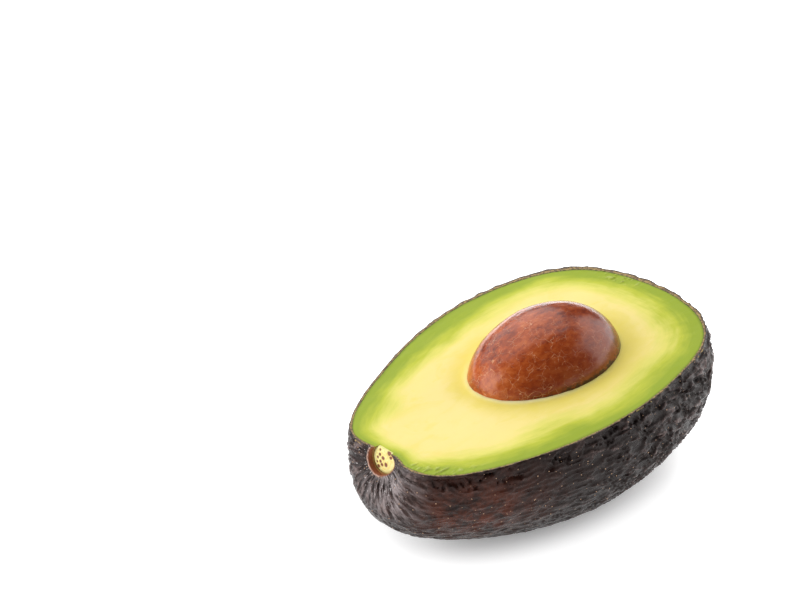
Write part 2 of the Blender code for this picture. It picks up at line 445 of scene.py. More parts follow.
    def raised(self, ball: Array, smooth: Array) -> Array:
        """Height of the skin over the smooth form.

        Args:
            ball: Points of the unit ball.
            smooth: The matching points of the smooth skin.

        Returns:
            The height in metres, below zero in creases and pits.
        """
        from_stem = np.linalg.norm(smooth - self.stem_pole, axis=1)
        from_spot = np.linalg.norm(smooth - self.low_point, axis=1)
        pebbled = self.pebble_domes(smooth) - self.pebble_sink
        stem_share = eased(from_stem, self.calm_near_stem, self.stem_calm)
        blossom_share = eased(smooth[:, 0], self.calm_along, self.stem_side_calm)
        ridged = self.ridge_height * self.ridges(smooth, ball) * blossom_share
        rim_share = eased(-smooth[:, 2], self.calm_under_rim, self.rim_calm)
        height = (self.pebble_share * pebbled + ridged) * stem_share * rim_share
        height += self.fold_height * self.folds(smooth)
        height -= self.pit_depth * self.pits(smooth)
        height += self.lip_height * self.lip(smooth) - self.dip_depth * self.dip(smooth)
        return height * ramp(from_spot, self.calm_near_spot)


@dataclass
class FruitLayers:
    """The layers of the fruit: the outer skin, and the joint of peel and flesh under it."""

    form: FruitForm
    relief: SkinRelief
    peel: float = 0.0010
    edge_width: float = 0.00058
    edge_swell: float = 0.00095
    swell_turn: float = math.radians(35.0)
    uneven: Span = (0.00013, 0.00008)

    def outer(self, ball: Array) -> Array:
        """Points of the pebbled skin, flat over the resting spot."""
        smooth = self.form.skin(ball)
        height = self.relief.raised(ball, smooth)
        return self.rest_flat(smooth + self.form.normals(ball) * height[:, None], 0.0)

    def joint(self, ball: Array, inset: Array) -> Array:
        """Points of the joint between peel and flesh, a set depth under the smooth skin."""
        smooth = self.form.skin(ball)
        depth = inset + self.relief.dip_depth * self.relief.dip(smooth)
        return self.rest_flat(smooth - self.form.normals(ball) * depth[:, None], inset)

    def rest_flat(self, points: Array, inset: Array | float) -> Array:
        """Lift what reaches below the resting spot up to it."""
        floor = self.relief.low_point @ self.form.up + self.form.spot_depth + inset
        lift = np.maximum(floor - points @ self.form.up, 0.0)
        return points + lift[:, None] * self.form.up

    def edge_inset(self, turn: Array) -> Array:
        """Width of the peel's cut edge, which is fuller at the far blossom side."""
        swell = lobe(turn, self.swell_turn, 2.0)
        circle = np.stack((np.cos(turn), np.sin(turn), 0.0 * turn), axis=1)
        uneven = self.uneven[0] * soft_noise(circle, 0.11, 7.7)
        uneven += self.uneven[1] * soft_noise(circle, 0.03, 1.2)
        return self.edge_width + self.edge_swell * swell + uneven

    def outer_limit(self, turn: Array) -> Array:
        """The fall at which the pebbled skin meets the knife's plane."""
        return self.meet_plane(lambda fall: self.outer(ball_points(fall, turn))[:, 2], turn)

    def joint_limit(self, turn: Array, inset: Array) -> Array:
        """The fall at which the joint of peel and flesh meets the knife's plane."""
        return self.meet_plane(lambda fall: self.joint(ball_points(fall, turn), inset)[:, 2], turn)

    def bottom(self) -> Array:
        """The point of the joint straight below the middle, as one row."""
        return self.joint(ball_points(np.zeros(1), np.zeros(1)), np.full(1, self.peel))

    @staticmethod
    def meet_plane(height_at: Callable[[Array], Array], turn: Array,
                   steps: int = 24, search: Span = (50.0, 150.0)) -> Array:
        """Halve the range of the fall until the height there is zero.

        Args:
            height_at: Gives the heights for an array of falls.
            turn: The turns that the falls belong to.
            steps: How often the range is halved.
            search: The range of falls to begin with, in degrees.

        Returns:
            The fall for each turn, in radians.
        """
        low, high = (np.full(len(turn), math.radians(fall)) for fall in search)
        for _ in range(steps):
            middle = 0.5 * (low + high)
            below = height_at(middle) < 0.0
            low = np.where(below, middle, low)
            high = np.where(below, high, middle)
        return low


class FruitPlace:
    """Where the fruit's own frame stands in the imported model."""

    def __init__(self, form: FruitForm, seed_form: "SeedForm") -> None:
        """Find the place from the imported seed, whose form is the same.

        Args:
            form: The fruit, for its dip.
            seed_form: The seed's smooth form.
        """
        tilt = Matrix.Rotation(-form.stem_dip, 3, "Y")
        own = np.array([tilt @ Vector(row) for row in seed_form.smooth_points(4)])
        low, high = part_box("seed")
        middle = 0.5 * (Vector(own.min(0)) + Vector(own.max(0)))
        self.matrix = Matrix.Translation(0.5 * (low + high) - middle) @ tilt.to_4x4()


class MeshKit:
    """Makes mesh objects of points and faces in the fruit's frame."""

    def __init__(self, place: FruitPlace) -> None:
        """Keep where the fruit stands."""
        self.place = place

    def add(self, name: str, points: Array, faces: list, sharp: float = 40.0) -> bpy.types.Object:
        """Make one smooth shaded object.

        Args:
            name: The piece's name.
            points: Its vertices in the fruit's frame, in metres.
            faces: Its faces, as lists of indices.
            sharp: Edges that bend more than this, in degrees, stay sharp.

        Returns:
            The new object, in place.
        """
        data = bpy.data.meshes.new(name)
        data.from_pydata(points.tolist(), [], faces)
        data.update()
        piece = placed(name, data)
        piece.matrix_world = self.place.matrix
        self.shade(piece, sharp)
        return piece

    @staticmethod
    def shade(piece: bpy.types.Object, sharp: float) -> None:
        """Shade a piece smooth but for its sharp edges."""
        piece.data.shade_smooth()
        piece.data.set_sharp_from_angle(angle=math.radians(sharp))

    @staticmethod
    def positions(piece: bpy.types.Object) -> Array:
        """The vertices of a piece in the fruit's frame."""
        flat = np.zeros(len(piece.data.vertices) * 3, np.float32)
        piece.data.vertices.foreach_get("co", flat)
        return flat.reshape(-1, 3).astype(float)

    @staticmethod
    def tell(piece: bpy.types.Object, name: str, values: Array) -> None:
        """Store one number for each vertex, for the finish to read."""
        attribute = piece.data.attributes.new(name, "FLOAT", "POINT")
        attribute.data.foreach_set("value", values.astype(np.float32))

    @staticmethod
    def cut_away(piece: bpy.types.Object, cutter: bpy.types.Object) -> None:
        """Cut one closed piece by another, and remove the cutter.

        Args:
            piece: What is cut.
            cutter: The shape of the room that it leaves.
        """
        cut = piece.modifiers.new("room", "BOOLEAN")
        cut.operation = "DIFFERENCE"
        cut.solver = "MANIFOLD"
        cut.object = cutter
        bpy.context.view_layer.update()
        evaluated = piece.evaluated_get(bpy.context.evaluated_depsgraph_get())
        made = bpy.data.meshes.new_from_object(evaluated)
        piece.modifiers.remove(cut)
        piece.data = made
        bpy.data.objects.remove(cutter)


def ring_faces(rows: list[Array], flip: bool = False) -> list:
    """Quads between rings of equal count, wound so that inner rings lie to the left.

    Args:
        rows: The rings, each as the indices of its vertices.
        flip: Turn the faces the other way.

    Returns:
        The faces.
    """
    faces = []
    for outer, inner in zip(rows, rows[1:]):
        quads = np.stack((outer, np.roll(outer, -1), np.roll(inner, -1), inner), axis=1)
        faces += (quads[:, ::-1] if flip else quads).tolist()
    return faces


def fan_faces(ring: Array, middle: int, flip: bool = False) -> list:
    """Triangles from a ring to one vertex in its middle."""
    tips = np.full(len(ring), middle)
    fan = np.stack((ring, np.roll(ring, -1), tips), axis=1)
    return (fan[:, ::-1] if flip else fan).tolist()


@dataclass(frozen=True)
class Grain:
    """A cloudy noise: the size of its lumps in metres, how many finer layers it has and their strength.

    The rest is how far it is pulled about, its scale along X, where less than 1 draws it out, and the
    turn of that direction about Z.
    """

    pitch: float
    detail: float = 3.0
    rough: float = 0.5
    distortion: float = 0.0
    stretch: float = 1.0
    turn: float = 0.0


class NodeBoard:
    """Adds and wires the nodes of one material."""

    def __init__(self, name: str) -> None:
        """Start a material with its shader.

        Args:
            name: The material's name.
        """
        self.material = bpy.data.materials.new(name)
        self.material.use_nodes = True
        self.tree = self.material.node_tree
        self.shader = self.tree.nodes["Principled BSDF"]
        self.places = self.add("ShaderNodeTexCoord").outputs["Object"]

    def add(self, kind: str, **settings: object) -> bpy.types.Node:
        """Add one node and set its properties."""
        node = self.tree.nodes.new(kind)
        for name, value in settings.items():
            setattr(node, name, value)
        return node

    def plug(self, value: object, socket: Socket) -> None:
        """Wire an output into a socket, or write a plain value on it."""
        if isinstance(value, Socket):
            self.tree.links.new(value, socket)
        elif isinstance(value, tuple) and len(value) == 3 and socket.type == "RGBA":
            socket.default_value = (*value, 1.0)
        else:
            socket.default_value = value

    def told(self, name: str) -> Socket:
        """The number that the mesh holds under this name."""
        return self.add("ShaderNodeAttribute", attribute_name=name).outputs["Fac"]

    def math(self, operation: str, *values: object, clamp: bool = False) -> Socket:
        """One step of arithmetic on sockets or numbers."""
        node = self.add("ShaderNodeMath", operation=operation, use_clamp=clamp)
        for value, socket in zip(values, node.inputs):
            self.plug(value, socket)
        return node.outputs[0]

    def times(self, first: object, second: object) -> Socket:
        """The product of two sockets or numbers."""
        return self.math("MULTIPLY", first, second)

    def plus(self, first: object, second: object) -> Socket:
        """The sum of two sockets or numbers."""
        return self.math("ADD", first, second)

    def about_zero(self, share: object, size: float) -> Socket:
        """A share from 0 to 1, shifted to lie about zero and sized."""
        return self.times(self.math("SUBTRACT", share, 0.5), size)

    def vector(self, operation: str, first: object, second: object = None) -> Socket:
        """One step of vector arithmetic, where SCALE takes a number as its second value."""
        node = self.add("ShaderNodeVectorMath", operation=operation)
        self.plug(first, node.inputs[0])
        if second is not None:
            self.plug(second, node.inputs["Scale" if operation == "SCALE" else 1])
        return node.outputs[0]

    def combined(self, *parts: object) -> Socket:
        """A vector of up to three parts."""
        node = self.add("ShaderNodeCombineXYZ")
        for part, socket in zip(parts, node.inputs):
            self.plug(part, socket)
        return node.outputs[0]

    def axes(self) -> bpy.types.bpy_prop_collection:
        """The places' X, Y and Z."""
        node = self.add("ShaderNodeSeparateXYZ")
        self.plug(self.places, node.inputs[0])
        return node.outputs

    def span(self, value: object, source: Span, target: Span = (0.0, 1.0)) -> Socket:
        """Map a range smoothly onto another one.

        Args:
            value: What is mapped.
            source: Where the rise starts and ends.
            target: What it gives there.

        Returns:
            The mapped number.
        """
        node = self.add("ShaderNodeMapRange", interpolation_type="SMOOTHSTEP")
        for item, socket in zip((value, *source, *target), node.inputs):
            self.plug(item, socket)
        return node.outputs[0]

    def mix(self, share: object, low: object, high: object) -> Socket:
        """Mix two colours by a share."""
        node = self.add("ShaderNodeMix", data_type="RGBA", clamp_factor=True)
        self.plug(share, node.inputs[0])
        self.plug(low, node.inputs[6])
        self.plug(high, node.inputs[7])
        return node.outputs[2]

    def ramp(self, value: object, stops: list[tuple[float, Colour]]) -> Socket:
        """Colours along a number, by a list of places and colours."""
        node = self.add("ShaderNodeValToRGB")
        items = node.color_ramp.elements
        for item, (place, colour) in zip((items[0], items[1]), (stops[0], stops[-1])):
            item.position = place
            item.color = (*colour, 1.0)
        for place, colour in stops[1:-1]:
            items.new(place).color = (*colour, 1.0)
        self.plug(value, node.inputs[0])
        return node.outputs[0]

    def stretched(self, grain: Grain) -> Socket:
        """The places as they are, or turned and scaled for a grain that is drawn out."""
        if grain.stretch == 1.0:
            return self.places
        node = self.add("ShaderNodeMapping")
        self.plug(self.places, node.inputs["Vector"])
        node.inputs["Rotation"].default_value = (0.0, 0.0, grain.turn)
        node.inputs["Scale"].default_value = (grain.stretch, 1.0, 1.0)
        return node.outputs[0]

    def noise(self, grain: Grain, place: object = None) -> Socket:
        """Cloudy noise from 0 to 1, read at the fruit's places or at another place."""
        node = self.add("ShaderNodeTexNoise")
        self.plug(self.stretched(grain) if place is None else place, node.inputs["Vector"])
        node.inputs["Scale"].default_value = 1.0 / grain.pitch
        node.inputs["Detail"].default_value = grain.detail
        node.inputs["Roughness"].default_value = grain.rough
        node.inputs["Distortion"].default_value = grain.distortion
        return node.outputs[0]

    def cells(self, pitch: float, feature: str = "F1", place: object = None,
              output: str = "Distance") -> Socket:
        """Cell noise: the distance to the nearest middle or wall, or the cell's own colour."""
        node = self.add("ShaderNodeTexVoronoi", feature=feature)
        self.plug(self.places if place is None else place, node.inputs["Vector"])
        node.inputs["Scale"].default_value = 1.0 / pitch
        return node.outputs[output]

    def swayed(self, pitch: float, reach: float) -> Socket:
        """The places, each moved a little by noise."""
        node = self.add("ShaderNodeTexNoise")
        self.plug(self.places, node.inputs["Vector"])
        node.inputs["Scale"].default_value = 1.0 / pitch
        shift = self.vector("SUBTRACT", node.outputs["Color"], (0.5, 0.5, 0.5))
        return self.vector("ADD", self.places, self.vector("SCALE", shift, reach))

    def bump(self, height: object, depth: float, below: object = None) -> Socket:
        """Shading of a fine relief.

        Args:
            height: The relief, from 0 to 1.
            depth: How deep it is, in metres.
            below: Normals of a coarser relief under it.

        Returns:
            The normals.
        """
        node = self.add("ShaderNodeBump")
        node.inputs["Strength"].default_value = 1.0
        node.inputs["Distance"].default_value = depth
        self.plug(height, node.inputs["Height"])
        if below is not None:
            self.plug(below, node.inputs["Normal"])
        return node.outputs[0]

    def finish(self, **sockets: object) -> bpy.types.Material:
        """Wire or write the shader's own sockets, by their names with _ for a space."""
        for name, value in sockets.items():
            self.plug(value, self.shader.inputs[name.replace("_", " ")])
        return self.material


@dataclass(frozen=True)
class SkinFinish:
    """Near-black purple-brown skin with golden pores and a ruddy patch, painted shade in the hollows of its
    relief, a painted sheen on its crests, and painted sheen in grey streaks and painted glints round the
    stem.
    """

    # The relief's colours from hollow to crest: deep is painted shade in the skin's hollows and also the dark
    # of its random clouds; raised and crest are a painted sheen on the crests.
    deep: Colour = (0.0075, 0.0045, 0.0042)
    body: Colour = (0.0110, 0.0058, 0.0050)
    raised: Colour = (0.037, 0.022, 0.0195)
    crest: Colour = (0.140, 0.100, 0.094)
    ruddy: Colour = (0.092, 0.023, 0.011)
    pore: Colour = (0.66, 0.42, 0.27)
    # Painted sheen: grey streaks round the stem that stand in for a reflection of the white floor.
    painted_stem_sheen: Colour = (0.44, 0.375, 0.375)
    # Painted glints: crisp light streaks near the stem.
    painted_glint: Colour = (0.56, 0.52, 0.52)
    cork: Colour = (0.56, 0.35, 0.27)
    recess: Colour = (0.28, 0.090, 0.045)
    clouds: Grain = Grain(0.0045, 4.0, 0.6)
    fine: Grain = Grain(0.0009, 3.0, 0.6)
    blotches: Grain = Grain(0.004, 4.0, 0.65)
    streaks: Grain = Grain(1.0, 4.0, 0.6)
    glint_streaks: Grain = Grain(1.0, 3.0, 0.6, 0.4)
    gloss: Grain = Grain(0.0016, 3.0, 0.5)
    creases: Grain = Grain(0.0012, 5.0, 0.68, 0.5, 0.4)
    # Where the relief runs from painted shade to painted sheen, in millimetres.
    shade_to_sheen_span: Span = (-0.40, 0.60)
    fine_tone: float = 0.9
    streak_places: Span = (10.0, 0.20)
    stem_sheen_strength: float = 0.72
    glint_places: Span = (16.0, 0.9)
    glint_reach: Span = (14.0, 6.0)
    pore_pitch: float = 0.0013
    pore_radius: float = 0.104
    pore_share: float = 0.85
    pore_depth: float = 0.00008
    crease_depth: float = 0.00024
    roughness: Span = (0.20, 0.36)
    shine: float = 0.135
    shine_tint: tuple[float, ...] = (1.0, 0.86, 0.82, 1.0)

    def build(self) -> bpy.types.Material:
        """Make the material."""
        board = NodeBoard("avocado_skin")
        fine = board.noise(self.fine)
        # Painted shade and sheen: the relief's hollows are darker and its crests lighter, as light would fall
        # on them.
        tone = board.plus(board.told("relief_mm"), board.about_zero(fine, self.fine_tone))
        shade_to_sheen = [(0.0, self.deep), (0.42, self.body), (0.72, self.raised), (1.0, self.crest)]
        colour = board.ramp(board.span(tone, self.shade_to_sheen_span), shade_to_sheen)
        colour = board.mix(board.span(board.noise(self.clouds), (0.42, 0.75), (0.0, 0.3)), colour, self.deep)
        blotches = board.span(board.noise(self.blotches), (0.30, 0.66))
        colour = board.mix(board.times(board.told("blush"), blotches), colour, self.ruddy)
        # Painted sheen in grey streaks that radiate from the stem, on one side of it.
        streaks = board.noise(self.streaks, self.round_stem(board, *self.streak_places))
        stem_sheen_mask = board.times(board.told("painted_stem_sheen"), board.span(streaks, (0.40, 0.64)))
        colour = board.mix(board.times(stem_sheen_mask, self.stem_sheen_strength), colour, self.painted_stem_sheen)
        # Painted glints: light streaks near the stem.
        glint_streaks = board.noise(self.glint_streaks, self.round_stem(board, *self.glint_places))
        near_stem = board.span(board.told("stem_mm"), self.glint_reach)
        colour = board.mix(board.times(board.span(glint_streaks, (0.62, 0.69)), near_stem), colour, self.painted_glint)
        pores = self.pores(board)
        colour = board.mix(board.times(pores, self.pore_share), colour, self.pore)
        corky = board.math("MULTIPLY", board.told("lip"), board.span(fine, (0.25, 0.6)), clamp=True)
        colour = board.mix(corky, colour, self.cork)
        colour = board.mix(board.told("recess"), colour, self.recess)
        rough = board.span(board.noise(self.gloss), (0.3, 0.7), self.roughness)
        normal = board.bump(board.noise(self.creases), self.crease_depth)
        normal = board.bump(pores, self.pore_depth, normal)
        return board.finish(Base_Color=colour, Roughness=rough, Normal=normal,
                            Specular_IOR_Level=self.shine, Specular_Tint=self.shine_tint)

    def pores(self, board: NodeBoard) -> Socket:
        """Small dots in most of the cells, from 0 to 1."""
        dots = board.span(board.cells(self.pore_pitch), (self.pore_radius * 1.5, self.pore_radius * 0.6))
        kept = board.add("ShaderNodeSeparateColor")
        board.plug(board.cells(self.pore_pitch, output="Color"), kept.inputs[0])
        return board.times(dots, board.span(kept.outputs[0], (0.25, 0.35)))

    @staticmethod
    def round_stem(board: NodeBoard, around: float, outward: float) -> Socket:
        """Places that count round the stem and outward from it, for marks that radiate."""
        return board.combined(board.times(board.told("stem_turn"), around),
                              board.times(board.told("stem_mm"), outward))


@dataclass(frozen=True)
class EdgeFinish:
    """The peel where the knife went through: golden brown with dark specks and a dark outer line."""

    outer: Colour = (0.030, 0.018, 0.015)
    middle: Colour = (0.40, 0.26, 0.075)
    inner: Colour = (0.11, 0.13, 0.020)
    speck: Colour = (0.070, 0.034, 0.018)
    ragged: Grain = Grain(0.0008, 3.0, 0.6)
    specks: Grain = Grain(0.0006, 3.0, 0.6)
    tooth: Grain = Grain(0.0005, 3.0, 0.6)
    tooth_depth: float = 0.00010

    def build(self) -> bpy.types.Material:
        """Make the material."""
        board = NodeBoard("peel_cut_edge")
        sway = board.about_zero(board.noise(self.ragged), 0.75)
        stops = [(0.22, self.outer), (0.46, self.middle), (0.74, self.middle), (0.98, self.inner)]
        colour = board.ramp(board.plus(board.told("edge_share"), sway), stops)
        specks = board.span(board.noise(self.specks), (0.44, 0.56))
        colour = board.mix(board.times(specks, 0.8), colour, self.speck)
        normal = board.bump(board.noise(self.tooth), self.tooth_depth)
        return board.finish(Base_Color=colour, Roughness=0.55, Normal=normal)


@dataclass(frozen=True)
class FleshFinish:
    """Moist flesh: green under the peel, pale yellow inside, a stronger yellow beside the seed, and a painted
    highlight on the lip beside the seed and on torn flakes.
    """

    rind: Colour = (0.190, 0.270, 0.024)
    green: Colour = (0.315, 0.405, 0.034)
    lime: Colour = (0.520, 0.560, 0.055)
    soft: Colour = (0.760, 0.710, 0.160)
    pale: Colour = (0.895, 0.755, 0.265)
    cream: Colour = (0.910, 0.765, 0.290)
    golden: Colour = (0.820, 0.680, 0.105)
    olive: Colour = (0.600, 0.560, 0.100)
    # Painted highlight on the flesh's lip beside the seed and on its torn flakes.
    lip: Colour = (0.930, 0.860, 0.480)
    scar: Colour = (0.420, 0.230, 0.090)
    clouds: Grain = Grain(0.011, 4.0, 0.55, 0.6, 0.6)
    fibre: Grain = Grain(0.0016, 4.0, 0.6, 0.8, 0.16, 0.2)
    strokes: Grain = Grain(0.0042, 4.0, 0.62)
    patches: Grain = Grain(0.006, 5.0, 0.62, 0.8, 0.5, 0.7)
    threads: Grain = Grain(0.0022, 5.0, 0.7, 1.2, 0.30, -0.3)
    cloud_drift: float = 7.0
    stroke_drift: float = 6.0
    colour_depth: float = 20.0
    fibre_depth: float = 0.00006
    roughness: Span = (0.44, 0.60)
    shine: float = 0.12
    glow_through: float = 0.12
    glow_radius: Triple = (1.0, 0.9, 0.35)
    glow_scale: float = 0.0025

    def build(self) -> bpy.types.Material:
        """Make the material."""
        board = NodeBoard("avocado_flesh")
        strokes = board.noise(self.strokes, self.along_rim(board))
        drift = board.plus(board.about_zero(board.noise(self.clouds), self.cloud_drift),
                           board.about_zero(strokes, self.stroke_drift))
        grow = board.span(board.told("rim_mm"), (0.2, 3.2))
        depth = board.plus(board.told("depth_mm"), board.times(drift, grow))
        share = board.math("DIVIDE", depth, self.colour_depth, clamp=True)
        stops = [(0.0, self.rind), (0.04, self.green), (0.11, self.green), (0.26, self.lime),
                 (0.42, self.soft), (0.60, self.pale), (1.0, self.cream)]
        colour = board.ramp(share, stops)
        patches = board.span(board.noise(self.patches), (0.48, 0.66), (0.0, 0.34))
        patches = board.times(patches, board.span(depth, (7.0, 13.0)))
        colour = board.mix(patches, colour, self.golden)
        warm = board.span(board.plus(board.told("seed_mm"), board.times(drift, 0.6)), (7.5, 0.6))
        colour = board.mix(board.times(warm, 0.75), colour, self.golden)
        threads = board.span(board.noise(self.threads), (0.60, 0.74))
        near_seed = board.times(board.span(board.told("seed_mm"), (9.0, 1.5)), 0.30)
        colour = board.mix(board.times(threads, near_seed), colour, self.olive)
        # Painted highlight: the lip beside the seed and the torn flakes made paler.
        colour = board.mix(board.told("lip_highlight_share"), colour, self.lip)
        colour = board.mix(board.told("scar_share"), colour, self.scar)
        fibre = board.noise(self.fibre)
        rough = board.span(fibre, (0.3, 0.7), self.roughness)
        normal = board.bump(fibre, self.fibre_depth)
        return board.finish(Base_Color=colour, Roughness=rough, Normal=normal,
                            Specular_IOR_Level=self.shine, Subsurface_Weight=self.glow_through,
                            Subsurface_Radius=self.glow_radius, Subsurface_Scale=self.glow_scale)

    @staticmethod
    def along_rim(board: NodeBoard) -> Socket:
        """Places in which a step along the rim is short, so that noise makes strokes beside it."""
        way = board.vector("NORMALIZE", board.vector("MULTIPLY", board.places, (0.69, 1.0, 0.0)))
        inward = board.combined(0.0, 0.0, board.times(board.told("rim_mm"), 2.2 * MM))
        return board.vector("ADD", board.vector("SCALE", way, 0.012), inward)


@dataclass(frozen=True)
class SeedFinish:
    """Chestnut seed coat with a net of pale fibres, painted shade toward its far and near sides, and a dark
    ragged line of painted shade where it meets the flesh, widest at its lower right.
    """

    dark: Colour = (0.130, 0.014, 0.003)
    body: Colour = (0.385, 0.066, 0.010)
    light: Colour = (0.600, 0.165, 0.040)
    fibre: Colour = (0.800, 0.430, 0.230)
    # Painted shade where the seed meets the flesh.
    line: Colour = (0.075, 0.024, 0.014)
    mottle: Grain = Grain(0.0013, 5.0, 0.70, 0.0, 0.6, 0.5)
    clouds: Grain = Grain(0.012)
    mottle_depth: float = 0.00007
    fibre_depth: float = 0.00004
    roughness: Span = (0.16, 0.24)
    shine: float = 0.38
    shade_far: tuple[Span, Span] = ((0.004, 0.020), (0.0, 0.62))
    shade_near: tuple[Span, Span] = ((-0.003, -0.016), (0.0, 0.55))
    net_fade: tuple[Span, Span] = ((0.013, -0.005), (0.25, 1.0))
    waterline_shade_span: Span = (1.7, 0.5)
    waterline_shade_ragged: float = 6.0
    nets: tuple[Triple, ...] = ((0.0078, 0.0060, 0.60), (0.0046, 0.0080, 0.60), (0.0025, 0.0120, 0.50))

    def build(self) -> bpy.types.Material:
        """Make the material."""
        board = NodeBoard("seed_coat")
        mottle = board.noise(self.mottle)
        tone = board.plus(board.times(mottle, 0.5), board.times(board.noise(self.clouds), 0.5))
        colour = board.ramp(tone, [(0.36, self.dark), (0.50, self.body), (0.66, self.light)])
        across = board.axes()
        shaded = board.math("MAXIMUM", board.span(across[0], *self.shade_far),
                            board.span(across[1], *self.shade_near))
        colour = board.mix(shaded, colour, self.dark)
        net = 0.0
        for pitch, width, strength in self.nets:
            walls = board.cells(pitch, "DISTANCE_TO_EDGE", board.swayed(0.5 * pitch, 0.6 * pitch))
            broken = board.span(board.noise(Grain(0.7 * pitch, 3.0, 0.6)), (0.46, 0.60))
            drawn = board.times(board.span(walls, (width * 1.5, width * 0.3)), broken)
            net = board.math("MAXIMUM", board.times(drawn, strength), net)
        net = board.times(net, board.span(across[0], *self.net_fade))
        colour = board.mix(net, colour, self.fibre)
        # Painted shade in a ragged band at the seed's foot, where it meets the flesh.
        edge = board.plus(board.told("waterline_shade_mm"), board.about_zero(mottle, self.waterline_shade_ragged))
        colour = board.mix(board.span(edge, self.waterline_shade_span), colour, self.line)
        rough = board.span(mottle, (0.3, 0.7), self.roughness)
        normal = board.bump(mottle, self.mottle_depth)
        normal = board.bump(net, self.fibre_depth, normal)
        return board.finish(Base_Color=colour, Roughness=rough, Normal=normal, Specular_IOR_Level=self.shine)


@dataclass(frozen=True)
class StemFinish:
    """Yellow cork with brown dots, paler round its edge."""

    cork: Colour = (0.74, 0.57, 0.16)
    pale: Colour = (0.78, 0.72, 0.30)
    dot: Colour = (0.20, 0.055, 0.018)
    cut: Colour = (0.80, 0.74, 0.26)
    grain: Grain = Grain(0.0006, 4.0, 0.6)
    grain_depth: float = 0.00010

    def build(self) -> bpy.types.Material:
        """Make the material."""
        board = NodeBoard("stem_cork")
        grain = board.noise(self.grain)
        colour = board.mix(board.span(grain, (0.35, 0.68)), self.cork, self.pale)
        colour = board.mix(board.told("rim_share"), colour, self.pale)
        dotted = board.plus(board.told("dot"), board.about_zero(grain, 0.9))
        colour = board.mix(board.span(dotted, (0.30, 0.62)), colour, self.dot)
        colour = board.mix(board.told("on_cut"), colour, self.cut)
        return board.finish(Base_Color=colour, Roughness=0.55, Normal=board.bump(grain, self.grain_depth))


@dataclass(frozen=True)
class FloorFinish:
    """Matt white sheet of a photo table that glows as if lit through from below, with a painted shadow where
    the glow fades round the fruit's foot and a painted brighter glow toward +X.
    """

    white: Colour = (0.86, 0.86, 0.86)
    shade: Colour = (0.85, 0.85, 0.855)
    glow: float = 0.82
    # Painted light: the floor glows brighter toward +X, for a brighter reflection on the right of the skin.
    painted_right_glow: float = 1.2
    right_span: Span = (0.05, 0.20)
    # Painted shadow: round the fruit's foot the floor's glow falls to this.
    shadow_glow: float = 0.26
    shadow_edge: Span = (0.80, 1.20)
    footprint: Span = (0.050, 0.031)
    shadow_middle: Span = (0.010, 0.012)

    def build(self) -> bpy.types.Material:
        """Make the material."""
        board = NodeBoard("white_floor")
        colour = board.mix(board.noise(Grain(0.05, 2.0)), self.white, self.shade)
        across = board.axes()
        shares = []
        for axis, half in enumerate(self.footprint):
            share = board.math("DIVIDE", board.math("SUBTRACT", across[axis], self.shadow_middle[axis]), half)
            shares.append(board.times(share, share))
        away = board.math("SQRT", board.plus(*shares))
        # Painted shadow: the glow fades inside an ellipse round the fruit's foot.
        glow = board.span(away, self.shadow_edge, (self.shadow_glow, self.glow))
        # Painted light: more glow toward +X.
        glow = board.plus(glow, board.span(across[0], self.right_span, (0.0, self.painted_right_glow)))
        return board.finish(Base_Color=colour, Roughness=0.9, Specular_IOR_Level=0.1,
                            Emission_Color=(1.0, 1.0, 1.0), Emission_Strength=glow)


